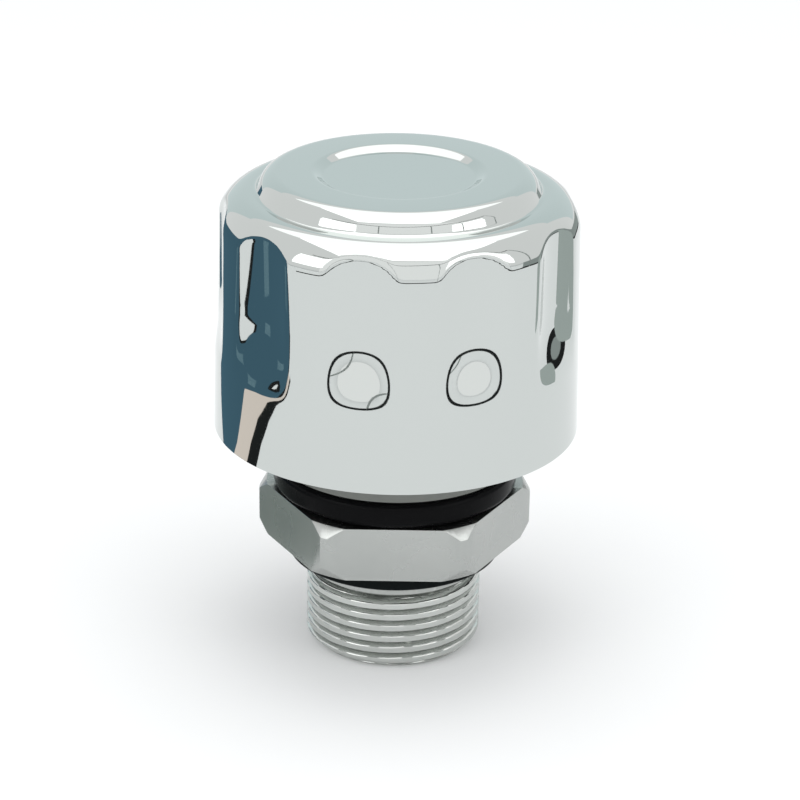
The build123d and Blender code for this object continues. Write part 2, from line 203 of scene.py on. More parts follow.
def math_node(tree: bpy.types.NodeTree, operation: str, first, second=None, third=None):
    """Adds a Math node and returns its output.

    Args:
        tree: The tree that gets the node, shader or geometry.
        operation: The Math node's operation.
        first: A socket or a number.
        second: A socket or a number, or None.
        third: A socket or a number, or None.

    Returns:
        The output socket.
    """
    node = tree.nodes.new("ShaderNodeMath")
    node.operation = operation
    for index, value in enumerate((first, second, third)):
        if value is None:
            continue
        if isinstance(value, bpy.types.NodeSocket):
            tree.links.new(value, node.inputs[index])
        else:
            node.inputs[index].default_value = value
    return node.outputs[0]


class FinishLibrary:
    """The shared node groups and one material for each finish."""

    def __init__(self) -> None:
        """Builds the groups, then the materials."""
        self.groups = {
            Marking.POLISHED: self._polished(),
            Marking.TURNED: self._turned(),
            Marking.ROLLED: self._rolled(),
            Marking.MOULDED: self._moulded(),
            Marking.FIBROUS: self._fibrous(),
        }
        self.wear = self._edge_wear_and_hollows()
        self.materials = {finish.name: self._material(finish) for finish in FINISHES}

    def of(self, slot: Slot, label: str = "") -> bpy.types.Material:
        """Returns the material of a slot, or its variant with a label."""
        return self.materials[label or slot.value]

    @staticmethod
    def _texture_group(name: str) -> tuple[bpy.types.NodeTree, bpy.types.Node, bpy.types.Node, bpy.types.Node]:
        """Starts a texture group with Scale in, and Height and Mask out.

        Args:
            name: The group's name.

        Returns:
            The tree, its input node, its output node and its Texture Coordinate node.
        """
        tree = new_group(name, {"Scale": 1000.0}, {"Height": "NodeSocketFloat", "Mask": "NodeSocketFloat"})
        source = next(n for n in tree.nodes if n.type == "GROUP_INPUT")
        sink = next(n for n in tree.nodes if n.type == "GROUP_OUTPUT")
        place = tree.nodes.new("ShaderNodeTexCoord")
        return tree, source, sink, place

    @staticmethod
    def _noise(tree: bpy.types.NodeTree, vector, scale, detail: float, distortion: float = 0.0):
        """Adds a Noise Texture and returns its value socket.

        Args:
            tree: The group's tree.
            vector: The socket with the place to read.
            scale: A socket or a number.
            detail: Octaves.
            distortion: How far the noise bends itself.

        Returns:
            The noise's Fac socket.
        """
        node = tree.nodes.new("ShaderNodeTexNoise")
        node.inputs["Detail"].default_value = detail
        node.inputs["Distortion"].default_value = distortion
        tree.links.new(vector, node.inputs["Vector"])
        if isinstance(scale, bpy.types.NodeSocket):
            tree.links.new(scale, node.inputs["Scale"])
        else:
            node.inputs["Scale"].default_value = scale
        return node.outputs["Fac"]

    @staticmethod
    def _stretched(tree: bpy.types.NodeTree, vector, factors: tuple[float, float, float]):
        """Returns the vector stretched by a factor on each axis."""
        node = tree.nodes.new("ShaderNodeMapping")
        node.inputs["Scale"].default_value = factors
        tree.links.new(vector, node.inputs["Vector"])
        return node.outputs["Vector"]

    def _polished(self) -> bpy.types.NodeTree:
        """Returns the group for bright plate: slow waves and faint handling marks."""
        tree, source, sink, place = self._texture_group("Polished Plate")
        waves = self._noise(tree, place.outputs["Object"], source.outputs["Scale"], 1.5)
        smudge = self._noise(tree, place.outputs["Object"], 220.0, 6.0, 0.6)
        mask = math_node(tree, "SMOOTH_MIN", math_node(tree, "POWER", smudge, 3.0), 0.6, 0.1)
        tree.links.new(waves, sink.inputs["Height"])
        tree.links.new(mask, sink.inputs["Mask"])
        return tree

    def _turned(self) -> bpy.types.NodeTree:
        """Returns the group for lathe-turned metal: fine rings around the axis."""
        tree, source, sink, place = self._texture_group("Turned Rings")
        parts = tree.nodes.new("ShaderNodeSeparateXYZ")
        tree.links.new(place.outputs["Object"], parts.inputs[0])
        squares = math_node(tree, "MULTIPLY", parts.outputs["X"], parts.outputs["X"])
        squares = math_node(tree, "MULTIPLY_ADD", parts.outputs["Y"], parts.outputs["Y"], squares)
        radius = math_node(tree, "SQRT", squares)
        along = math_node(tree, "ADD", radius, parts.outputs["Z"])
        joined = tree.nodes.new("ShaderNodeCombineXYZ")
        tree.links.new(along, joined.inputs["X"])
        rings = self._noise(tree, joined.outputs[0], source.outputs["Scale"], 3.0)
        blotch = self._noise(tree, place.outputs["Object"], 160.0, 4.0)
        tree.links.new(rings, sink.inputs["Height"])
        tree.links.new(math_node(tree, "MULTIPLY", rings, blotch), sink.inputs["Mask"])
        return tree

    def _rolled(self) -> bpy.types.NodeTree:
        """Returns the group for rolled or satin metal: fine grain along one way."""
        tree, source, sink, place = self._texture_group("Satin Grain")
        grain_vector = self._stretched(tree, place.outputs["Object"], (1.0, 1.0, 5.0))
        grain = self._noise(tree, grain_vector, source.outputs["Scale"], 5.0)
        cloud = self._noise(tree, place.outputs["Object"], 120.0, 5.0, 0.4)
        tree.links.new(grain, sink.inputs["Height"])
        tree.links.new(cloud, sink.inputs["Mask"])
        return tree

    def _moulded(self) -> bpy.types.NodeTree:
        """Returns the group for moulded rubber: soft pores and a dusty bloom."""
        tree, source, sink, place = self._texture_group("Moulded Rubber")
        pores = self._noise(tree, place.outputs["Object"], source.outputs["Scale"], 4.0)
        bloom = self._noise(tree, place.outputs["Object"], 260.0, 5.0, 0.8)
        tree.links.new(pores, sink.inputs["Height"])
        tree.links.new(math_node(tree, "POWER", bloom, 2.5), sink.inputs["Mask"])
        return tree

    def _fibrous(self) -> bpy.types.NodeTree:
        """Returns the group for paper and felt: crossing fibres."""
        tree, source, sink, place = self._texture_group("Fibres")
        one_way = self._stretched(tree, place.outputs["Object"], (1.0, 4.0, 0.6))
        other_way = self._stretched(tree, place.outputs["Object"], (3.0, 1.0, 2.2))
        first = self._noise(tree, one_way, source.outputs["Scale"], 6.0, 0.5)
        second = self._noise(tree, other_way, source.outputs["Scale"], 6.0, 0.5)
        tree.links.new(math_node(tree, "MAXIMUM", first, second), sink.inputs["Height"])
        tree.links.new(math_node(tree, "MULTIPLY", first, second), sink.inputs["Mask"])
        return tree

    @staticmethod
    def _edge_wear_and_hollows() -> bpy.types.NodeTree:
        """Returns the group that finds rubbed edges, and hollows where the colour is darkened.

        Returns:
            A group with Amount, Mask and the hollows' darkening in, and Wear and Hollow out.
        """
        tree = new_group(
            "Edge Wear And Hollows",
            {"Amount": 0.5, "Mask": 0.5, "Darkening": 0.5},
            {"Wear": "NodeSocketFloat", "Hollow": "NodeSocketFloat"},
        )
        source = next(n for n in tree.nodes if n.type == "GROUP_INPUT")
        sink = next(n for n in tree.nodes if n.type == "GROUP_OUTPUT")
        shape = tree.nodes.new("ShaderNodeNewGeometry")
        edge = math_node(tree, "SUBTRACT", shape.outputs["Pointiness"], 0.5)
        rubbed = math_node(tree, "MULTIPLY", math_node(tree, "MULTIPLY", edge, 10.0), source.outputs["Amount"])
        patchy = math_node(tree, "MULTIPLY", source.outputs["Mask"], 0.22)
        wear = tree.nodes.new("ShaderNodeClamp")
        tree.links.new(math_node(tree, "ADD", rubbed, patchy), wear.inputs["Value"])
        tree.links.new(wear.outputs[0], sink.inputs["Wear"])
        # Hollows, where the pointiness is low, get a darker colour.
        darkened = math_node(tree, "MULTIPLY", math_node(tree, "MULTIPLY", edge, -14.0), source.outputs["Darkening"])
        hollow = tree.nodes.new("ShaderNodeClamp")
        tree.links.new(darkened, hollow.inputs["Value"])
        tree.links.new(hollow.outputs[0], sink.inputs["Hollow"])
        return tree

    @staticmethod
    def _mixed(tree: bpy.types.NodeTree, factor, first, second):
        """Adds a colour Mix node and returns its output.

        Args:
            tree: The material's tree.
            factor: The socket that mixes.
            first: A colour or a socket.
            second: A colour.

        Returns:
            The mixed colour's socket.
        """
        node = tree.nodes.new("ShaderNodeMix")
        node.data_type = "RGBA"
        sockets = [s for s in node.inputs if s.type == "RGBA"]
        tree.links.new(factor, node.inputs[0])
        if isinstance(first, bpy.types.NodeSocket):
            tree.links.new(first, sockets[0])
        else:
            sockets[0].default_value = (*first, 1)
        sockets[1].default_value = (*second, 1)
        return next(s for s in node.outputs if s.type == "RGBA")

    def _material(self, finish: Finish) -> bpy.types.Material:
        """Builds the material of one finish.

        Args:
            finish: The finish's values.

        Returns:
            The material.
        """
        polished = finish.marking is Marking.POLISHED
        material = bpy.data.materials.new(finish.name)
        material.use_nodes = True
        tree = material.node_tree
        shader = tree.nodes["Principled BSDF"]
        shader.inputs["Metallic"].default_value = finish.metallic
        if finish.marking is Marking.MOULDED:
            shader.inputs["Specular IOR Level"].default_value = RUBBER_GLOSS
        texture = tree.nodes.new("ShaderNodeGroup")
        texture.node_tree = self.groups[finish.marking]
        texture.inputs["Scale"].default_value = finish.scale
        wear = tree.nodes.new("ShaderNodeGroup")
        wear.node_tree = self.wear
        wear.inputs["Amount"].default_value = 0.0 if polished else 0.5
        wear.inputs["Darkening"].default_value = 0.0 if polished else 0.6
        tree.links.new(texture.outputs["Mask"], wear.inputs["Mask"])
        rubbed = self._mixed(tree, wear.outputs["Wear"], finish.colour, finish.worn)
        # In hollows the colour is darkened towards this share of itself.
        hollow_colour = tuple(channel * HOLLOW_SHARE for channel in finish.colour)
        darkened = self._mixed(tree, wear.outputs["Hollow"], rubbed, hollow_colour)
        tree.links.new(darkened, shader.inputs["Base Color"])
        low = finish.roughness - finish.spread / 2
        rough = math_node(tree, "MULTIPLY_ADD", texture.outputs["Mask"], finish.spread, low)
        tree.links.new(rough, shader.inputs["Roughness"])
        bump = tree.nodes.new("ShaderNodeBump")
        bump.inputs["Strength"].default_value = finish.depth
        bump.inputs["Distance"].default_value = PLATE_WAVE if polished else GRAIN_DEPTH
        tree.links.new(texture.outputs["Height"], bump.inputs["Height"])
        tree.links.new(bump.outputs["Normal"], shader.inputs["Normal"])
        return material


def finish_piece(
    obj: bpy.types.Object, finishes: FinishLibrary, slot: Slot, body: str, *nodes: str, label: str = ""
) -> bpy.types.Object:
    """Gives a new piece its slot's material and its body, and hides the CAD nodes it stands for.

    Args:
        obj: The piece, with its place in its mesh.
        finishes: The finish library.
        slot: The piece's slot.
        body: The CAD body it rides on.
        *nodes: The CAD nodes it replaces.
        label: The variant of the slot's finish, where it has one.

    Returns:
        The piece.
    """
    obj.data.materials.clear()
    obj.data.materials.append(finishes.of(slot, label))
    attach(obj, body)
    if nodes:
        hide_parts(*nodes)
    LOG.info("%s: %d faces on %s", obj.name, len(obj.data.polygons), body)
    return obj


def mesh_object(name: str, mesh: bpy.types.Mesh) -> bpy.types.Object:
    """Links a mesh to the scene as an object at the origin."""
    obj = bpy.data.objects.new(name, mesh)
    bpy.context.scene.collection.objects.link(obj)
    return obj


def rounded(points: list[tuple[float, float, float]], steps: int = 8) -> list[tuple[float, float]]:
    """Rounds the corners of a closed half-section.

    Args:
        points: Corners as radius, height and rounding, in order.
        steps: Points on each rounded corner.

    Returns:
        The section's points as radius and height.
    """
    outline = []
    count = len(points)
    for index, (x, y, size) in enumerate(points):
        corner = Vector((x, y))
        if size <= 0:
            outline.append((x, y))
            continue
        before = (Vector(points[index - 1][:2]) - corner).normalized()
        after = (Vector(points[(index + 1) % count][:2]) - corner).normalized()
        half = before.angle(after) / 2
        reach = size / math.tan(half)
        centre = corner + (before + after).normalized() * size / math.sin(half)
        start = corner + before * reach - centre
        end = corner + after * reach - centre
        sweep = start.angle_signed(end)
        for step in range(steps + 1):
            turned = Matrix.Rotation(-sweep * step / steps, 2) @ start
            outline.append(tuple(centre + turned))
    return outline


def lathe(name: str, outline: list[tuple[float, float]], segments: int = 192) -> bpy.types.Mesh:
    """Turns a closed half-section around the vertical axis.

    Args:
        name: The mesh's name.
        outline: Radius and height of each point, in order; on the axis a radius is 0.
        segments: Steps around the axis.

    Returns:
        A closed mesh with smooth faces and outward normals.
    """
    form = bmesh.new()
    rings = []
    for radius, height in outline:
        if radius < TINY:
            rings.append([form.verts.new((0, 0, height))])
            continue
        ring = []
        for step in range(segments):
            angle = 2 * math.pi * step / segments
            ring.append(form.verts.new((radius * math.cos(angle), radius * math.sin(angle), height)))
        rings.append(ring)
    for low, high in zip(rings, rings[1:] + rings[:1]):
        for step in range(segments):
            following = (step + 1) % segments
            if len(low) == 1 and len(high) == 1:
                break
            if len(low) == 1:
                form.faces.new((low[0], high[following], high[step]))
            elif len(high) == 1:
                form.faces.new((low[step], low[following], high[0]))
            else:
                form.faces.new((low[step], low[following], high[following], high[step]))
    bmesh.ops.recalc_face_normals(form, faces=form.faces)
    for face in form.faces:
        face.smooth = True
    mesh = bpy.data.meshes.new(name)
    form.to_mesh(mesh)
    form.free()
    return mesh


class GeometryTree:
    """A Geometry Nodes tree with named inputs, made step by step."""

    def __init__(self, name: str, inputs: dict[str, float]) -> None:
        """Makes the tree.

        Args:
            name: The tree's name.
            inputs: Each float or whole-number input's name and value.
        """
        self.tree = bpy.data.node_groups.new(name, "GeometryNodeTree")
        self.values = inputs
        self.tree.interface.new_socket("Geometry", in_out="INPUT", socket_type="NodeSocketGeometry")
        for label, value in inputs.items():
            kind = "NodeSocketInt" if isinstance(value, int) else "NodeSocketFloat"
            self.tree.interface.new_socket(label, in_out="INPUT", socket_type=kind)
        self.tree.interface.new_socket("Material", in_out="INPUT", socket_type="NodeSocketMaterial")
        self.tree.interface.new_socket("Geometry", in_out="OUTPUT", socket_type="NodeSocketGeometry")
        self.source = self.tree.nodes.new("NodeGroupInput")
        self.sink = self.tree.nodes.new("NodeGroupOutput")

    def value(self, label: str) -> bpy.types.NodeSocket:
        """Returns the socket of a named input."""
        return self.source.outputs[label]

    def node(self, kind: str, **inputs) -> bpy.types.Node:
        """Adds a node and sets or links its inputs.

        Args:
            kind: The node's type.
            **inputs: Input names, with _ for a space, and sockets or values.

        Returns:
            The node.
        """
        node = self.tree.nodes.new(kind)
        for label, value in inputs.items():
            socket = node.inputs[label.replace("_", " ")]
            if isinstance(value, bpy.types.NodeSocket):
                self.tree.links.new(value, socket)
            else:
                socket.default_value = value
        return node

    def maths(self, operation: str, first, second=None, third=None) -> bpy.types.NodeSocket:
        """Adds a Math node and returns its output."""
        return math_node(self.tree, operation, first, second, third)

    def position(self) -> dict[str, bpy.types.NodeSocket]:
        """Returns the sockets X, Y and Z of each point's place."""
        place = self.node("GeometryNodeInputPosition")
        parts = self.node("ShaderNodeSeparateXYZ", Vector=place.outputs[0])
        return {axis: parts.outputs[axis] for axis in "XYZ"}

    def vector(self, x, y, z) -> bpy.types.NodeSocket:
        """Returns a vector made of three sockets or numbers."""
        return self.node("ShaderNodeCombineXYZ", X=x, Y=y, Z=z).outputs[0]

    def close(self, geometry: bpy.types.NodeSocket) -> None:
        """Ends the tree in Realize Instances and Set Material."""
        real = self.node("GeometryNodeRealizeInstances", Geometry=geometry)
        dressed = self.node("GeometryNodeSetMaterial", Geometry=real.outputs[0], Material=self.value("Material"))
        self.tree.links.new(dressed.outputs[0], self.sink.inputs[0])

    def apply(self, name: str, start: bpy.types.Mesh, material: bpy.types.Material) -> bpy.types.Mesh:
        """Runs the tree on a mesh and returns the result as a plain mesh.

        Args:
            name: The new mesh's name.
            start: The mesh that enters the tree.
            material: The material that the tree sets.

        Returns:
            The plain mesh.
        """
        carrier = mesh_object(name + "_carrier", start)
        modifier = carrier.modifiers.new("Nodes", "NODES")
        modifier.node_group = self.tree
        for item in self.tree.interface.items_tree:
            if item.in_out != "INPUT":
                continue
            if item.name in self.values:
                modifier[item.identifier] = self.values[item.name]
            elif item.name == "Material":
                modifier[item.identifier] = material
        bpy.context.view_layer.update()
        graph = bpy.context.evaluated_depsgraph_get()
        mesh = bpy.data.meshes.new_from_object(carrier.evaluated_get(graph))
        mesh.name = name
        carrier.modifiers.clear()
        bpy.data.objects.remove(carrier)
        return mesh


def weld(mesh: bpy.types.Mesh, distance: float = 0.001 * MM, smooth_angle: float = 180.0) -> bpy.types.Mesh:
    """Merges doubles, turns faces outwards and sets smooth shading.

    Args:
        mesh: The mesh to mend.
        distance: How near doubles are.
        smooth_angle: Edges sharper than this, in degrees, stay crisp.

    Returns:
        The same mesh.
    """
    form = bmesh.new()
    form.from_mesh(mesh)
    bmesh.ops.remove_doubles(form, verts=form.verts, dist=distance)
    bmesh.ops.recalc_face_normals(form, faces=form.faces)
    limit = math.radians(smooth_angle)
    for face in form.faces:
        face.smooth = True
    for edge in form.edges:
        edge.smooth = len(edge.link_faces) == 2 and edge.calc_face_angle(0.0) < limit
    form.to_mesh(mesh)
    form.free()
    return mesh


@dataclass
class CapShell:
    """The drawn cap: a stepped top, a drafted wall and pressed flutes."""

    thickness: float = 0.8 * MM
    rim_radius: float = 27.09 * MM
    draft: float = math.radians(1.5)
    wall_height: float = 31.2 * MM
    shoulder: float = 4.8 * MM
    shoulder_flat: float = 0.7 * MM
    shoulder_blend: float = 0.8 * MM
    ring_slope: float = 1.5 * MM
    ring_width: float = 6.8 * MM
    ring_rise: float = 2.8 * MM
    ring_round: float = 3.0 * MM
    crest_round: float = 1.6 * MM
    recess_slope: float = 1.4 * MM
    recess_depth: float = 0.8 * MM
    recess_blend: float = 1.0 * MM
    flute_count: int = 10
    flute_depth: float = 1.6 * MM
    flute_radius: float = 17.0 * MM
    flute_bottom: float = 11.3 * MM
    flute_run_out: float = 10.6 * MM
    flute_blend: float = 0.6 * MM
    first_flute: float = math.radians(-101.5)
    wall_steps: int = 50
    segments: int = 360

    @property
    def lean(self) -> float:
        """How far the wall leans in from the rim to the shoulder."""
        return self.wall_height * math.sin(self.draft)

    def _surface(self, rim: float, inset: float) -> list[tuple[float, float]]:
        """Returns one side of the sheet from the rim up to the axis.

        Args:
            rim: Height of the rim.
            inset: Distance in from the outer face.

        Returns:
            The side's points as radius and height.
        """
        high = rim + self.wall_height + self.shoulder - inset
        crest = high + self.ring_rise
        floor = crest - self.recess_depth
        wall_top = self.rim_radius - self.lean
        base = wall_top - self.shoulder - self.shoulder_flat
        outer = base - self.ring_slope
        inner = outer - self.ring_width
        edge = inner - self.recess_slope
        corners = [
            (0.0, floor, 0.0),
            (edge + inset, floor, self.recess_blend + inset),
            (inner + inset, crest, self.crest_round - inset),
            (outer - inset, crest, self.ring_round - inset),
            (base - inset, high, self.shoulder_blend + inset),
            (wall_top - inset, high, self.shoulder - inset),
            (self.rim_radius - inset, rim, 0.0),
        ]
        points = rounded(corners, 14)
        low, top = points[-1], points[-2]
        wall = []
        for step in range(self.wall_steps):
            share = step / self.wall_steps
            wall.append((low[0] + (top[0] - low[0]) * share, low[1] + (top[1] - low[1]) * share))
        return wall + points[-2::-1]

    def press_flutes(self, rim: float) -> GeometryTree:
        """Builds the tree that presses the round-ended flutes into the wall.

        Args:
            rim: Height of the rim.

        Returns:
            The tree.
        """
        reference = self.rim_radius - self.lean / 2
        nodes = GeometryTree(
            "Press Flutes",
            {
                "Count": self.flute_count,
                "First Angle": self.first_flute,
                "Reach": reference - self.flute_depth + self.flute_radius,
                "Tool Radius": self.flute_radius,
                "Bottom": rim + self.flute_bottom,
                "Run Out": self.flute_run_out,
                "Blend": self.flute_blend,
            },
        )
        place = nodes.position()
        squares = nodes.maths("MULTIPLY", place["X"], place["X"])
        radius = nodes.maths("SQRT", nodes.maths("MULTIPLY_ADD", place["Y"], place["Y"], squares))
        angle = nodes.maths("ARCTAN2", place["Y"], place["X"])
        pitch = nodes.maths("DIVIDE", 2 * math.pi, nodes.value("Count"))
        half = nodes.maths("DIVIDE", pitch, 2.0)
        offset = nodes.maths("SUBTRACT", angle, nodes.value("First Angle"))
        local = nodes.maths("WRAP", offset, half, nodes.maths("MULTIPLY", half, -1.0))
        inset = nodes.node("GeometryNodeInputNamedAttribute", Name="inset").outputs[0]
        tool = nodes.maths("ADD", nodes.value("Tool Radius"), inset)
        reach = nodes.value("Reach")
        aside = nodes.maths("MULTIPLY", nodes.maths("SINE", local), reach)
        inside = nodes.maths("MULTIPLY", tool, tool)
        inside = nodes.maths("SUBTRACT", inside, nodes.maths("MULTIPLY", aside, aside))
        chord = nodes.maths("SQRT", nodes.maths("MAXIMUM", inside, 0.0))
        touched = nodes.maths("SUBTRACT", nodes.maths("MULTIPLY", nodes.maths("COSINE", local), reach), chord)
        full = nodes.maths("SMOOTH_MIN", radius, touched, nodes.value("Blend"))
        climb = nodes.maths("DIVIDE", nodes.maths("SUBTRACT", place["Z"], nodes.value("Bottom")), nodes.value("Run Out"))
        climb = nodes.maths("MINIMUM", nodes.maths("MAXIMUM", climb, 0.0), 1.0)
        share = nodes.maths("MULTIPLY", climb, climb)
        share = nodes.maths("MULTIPLY", share, nodes.maths("MULTIPLY_ADD", climb, -2.0, 3.0))
        depth = nodes.maths("MULTIPLY", nodes.maths("SUBTRACT", radius, full), share)
        pressed = nodes.maths("SUBTRACT", radius, depth)
        grip = nodes.maths("GREATER_THAN", radius, 0.5 * self.rim_radius)
        ratio = nodes.maths("DIVIDE", pressed, nodes.maths("MAXIMUM", radius, 1e-6))
        ratio = nodes.maths("MULTIPLY_ADD", nodes.maths("SUBTRACT", ratio, 1.0), grip, 1.0)
        where = nodes.vector(
            nodes.maths("MULTIPLY", place["X"], ratio),
            nodes.maths("MULTIPLY", place["Y"], ratio),
            place["Z"],
        )
        moved = nodes.node("GeometryNodeSetPosition", Geometry=nodes.value("Geometry"), Position=where)
        nodes.close(moved.outputs[0])
        return nodes

    def build(self, finishes: FinishLibrary) -> None:
        """Makes the shell and puts it in place of the CAD shell.

        Args:
            finishes: The finish library.
        """
        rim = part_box("cap_shell")[0].z
        outer = self._surface(rim, 0.0)
        inner = self._surface(rim, self.thickness)
        outline = outer + inner[::-1]
        blank = lathe("cap_blank", outline, self.segments)
        inset = blank.attributes.new("inset", "FLOAT", "POINT")
        values = []
        for index, (radius, _) in enumerate(outline):
            copies = 1 if radius < TINY else self.segments
            values += [0.0 if index < len(outer) else self.thickness] * copies
        inset.data.foreach_set("value", values)
        mesh = self.press_flutes(rim).apply("cap_shell_drawn", blank, finishes.of(Slot.CAP_CHROME))
        weld(mesh, smooth_angle=50.0)
        finish_piece(mesh_object("cap_shell_drawn", mesh), finishes, Slot.CAP_CHROME, "cap", "cap_shell")


@dataclass
class Adapter:
    """The hexagon adapter and the two rubber seals that seat on it."""

    major: float = 26.441 / 2 * MM
    pitch: float = 1.814 * MM
    thread_depth: float = 1.05 * MM
    undercut: float = 0.75 * MM
    undercut_width: float = 0.9 * MM
    land_visible: float = 2.0 * MM
    across_flats: float = 36.0 * MM
    turned: float = 20.45 * MM
    chamfer_land: float = 19.3 * MM
    chamfer_rise: float = 1.45
    socket: float = 14.0 * MM
    socket_depth: float = 5.8 * MM
    bore: float = 9.0 * MM
    slide_fit: float = 0.08 * MM
    end_chamfer: float = 1.3 * MM
    segments: int = 256

    def thread_tree(self, low: float, high: float) -> GeometryTree:
        """Builds the tree that cuts the helical thread in a fine tube.

        Args:
            low: Height of the thread's free end.
            high: Height of its upper end.

        Returns:
            The tree.
        """
        nodes = GeometryTree(
            "Cut Thread",
            {
                "Pitch": self.pitch,
                "Depth": self.thread_depth,
                "Major": self.major,
                "Low": low,
                "High": high,
                "Chamfer": self.end_chamfer,
            },
        )
        place = nodes.position()
        angle = nodes.maths("DIVIDE", nodes.maths("ARCTAN2", place["Y"], place["X"]), 2 * math.pi)
        turns = nodes.maths("ADD", nodes.maths("DIVIDE", place["Z"], nodes.value("Pitch")), nodes.maths("MULTIPLY", angle, -1.0))
        wave = nodes.maths("PINGPONG", turns, 0.5)
        wave = nodes.maths("MULTIPLY", wave, 2.0)
        flank = nodes.maths("MULTIPLY_ADD", wave, 2.0, -1.0)
        flank = nodes.maths("SMOOTH_MAX", nodes.maths("SMOOTH_MIN", flank, 1.0, 0.12), 0.0, 0.12)
        cut = nodes.maths("MULTIPLY", flank, nodes.value("Depth"))
        groove = nodes.maths("SUBTRACT", nodes.value("Major"), cut)
        above = nodes.maths("SUBTRACT", place["Z"], nodes.value("Low"))
        cone = nodes.maths("ADD", nodes.maths("SUBTRACT", nodes.value("Major"), nodes.value("Chamfer")), above)
        radius = nodes.maths("MINIMUM", groove, cone)
        top_gap = nodes.maths("SUBTRACT", nodes.value("High"), place["Z"])
        runout = nodes.maths("ADD", nodes.maths("MULTIPLY", top_gap, 2.0), self.major - self.undercut)
        radius = nodes.maths("MINIMUM", radius, runout)
        where = nodes.vector(
            nodes.maths("MULTIPLY", nodes.maths("COSINE", nodes.maths("ARCTAN2", place["Y"], place["X"])), radius),
            nodes.maths("MULTIPLY", nodes.maths("SINE", nodes.maths("ARCTAN2", place["Y"], place["X"])), radius),
            place["Z"],
        )
        tag = nodes.node("GeometryNodeInputNamedAttribute", Name="outside").outputs[0]
        moved = nodes.node(
            "GeometryNodeSetPosition",
            Geometry=nodes.value("Geometry"),
            Position=where,
            Selection=nodes.maths("GREATER_THAN", tag, 0.5),
        )
        nodes.close(moved.outputs[0])
        return nodes

    def build_thread(self, finishes: FinishLibrary) -> None:
        """Makes the threaded shank below the undercut.

        Args:
            finishes: The finish library.
        """
        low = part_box("hex_adapter")[0].z
        high = -self.land_visible - self.undercut_width / 2
        rows = int((high - low) / self.pitch * 16)
        outline = [(self.bore, low), (self.bore, high)]
        outline = outline[::-1] + [(self.major, low + (high - low) * i / rows) for i in range(rows + 1)]
        blank = lathe("thread_blank", outline, self.segments)
        outside = blank.attributes.new("outside", "FLOAT", "POINT")
        values = [0.0] * (2 * self.segments) + [1.0] * ((rows + 1) * self.segments)
        outside.data.foreach_set("value", values)
        # The lighter copy of the hex's plating paints light on the thread.
        bright = finishes.of(Slot.PLATED_HEX, LIGHTER_THREAD_FINISH)
        mesh = self.thread_tree(low, high).apply("tank_thread_cut", blank, bright)
        weld(mesh, smooth_angle=55.0)
        thread = mesh_object("tank_thread_cut", mesh)
        finish_piece(thread, finishes, Slot.PLATED_HEX, "adapter", "hex_adapter", label=LIGHTER_THREAD_FINISH)

    def _hexagon_prism(self, low: float, high: float) -> bpy.types.Mesh:
        """Returns a six-sided prism with flats facing front and back.

        Args:
            low: Height of its underside.
            high: Height of its top.

        Returns:
            The closed mesh.
        """
        corner = self.across_flats / math.sqrt(3)
        form = bmesh.new()
        ring = [form.verts.new((corner * math.cos(k * math.pi / 3), corner * math.sin(k * math.pi / 3), low)) for k in range(6)]
        bottom = form.faces.new(ring)
        grown = bmesh.ops.extrude_face_region(form, geom=[bottom])
        risen = [item for item in grown["geom"] if isinstance(item, bmesh.types.BMVert)]
        bmesh.ops.translate(form, verts=risen, vec=(0, 0, high - low))
        bmesh.ops.recalc_face_normals(form, faces=form.faces)
        mesh = bpy.data.meshes.new("hexagon_prism")
        form.to_mesh(mesh)
        form.free()
        return mesh

    @staticmethod
    def _combine(name: str, base: bpy.types.Mesh, steps: list[tuple[str, bpy.types.Mesh]]) -> bpy.types.Mesh:
        """Cuts or joins meshes with exact booleans.

        Args:
            name: The result's name.
            base: The mesh to start from.
            steps: Each operation and the mesh that it uses.

        Returns:
            The plain result.
        """
        carrier = mesh_object(name + "_carrier", base)
        helpers = []
        for operation, mesh in steps:
            helper = mesh_object(name + "_tool", mesh)
            helpers.append(helper)
            modifier = carrier.modifiers.new(operation, "BOOLEAN")
            modifier.operation = operation
            modifier.solver = "EXACT"
            modifier.object = helper
        bevel = carrier.modifiers.new("Edges", "BEVEL")
        bevel.width = 0.14 * MM
        bevel.segments = 2
        bevel.limit_method = "ANGLE"
        bevel.angle_limit = math.radians(24)
        bevel.use_clamp_overlap = True
        bpy.context.view_layer.update()
        graph = bpy.context.evaluated_depsgraph_get()
        result = bpy.data.meshes.new_from_object(carrier.evaluated_get(graph))
        result.name = name
        for obj in [carrier] + helpers:
            bpy.data.objects.remove(obj)
        return result

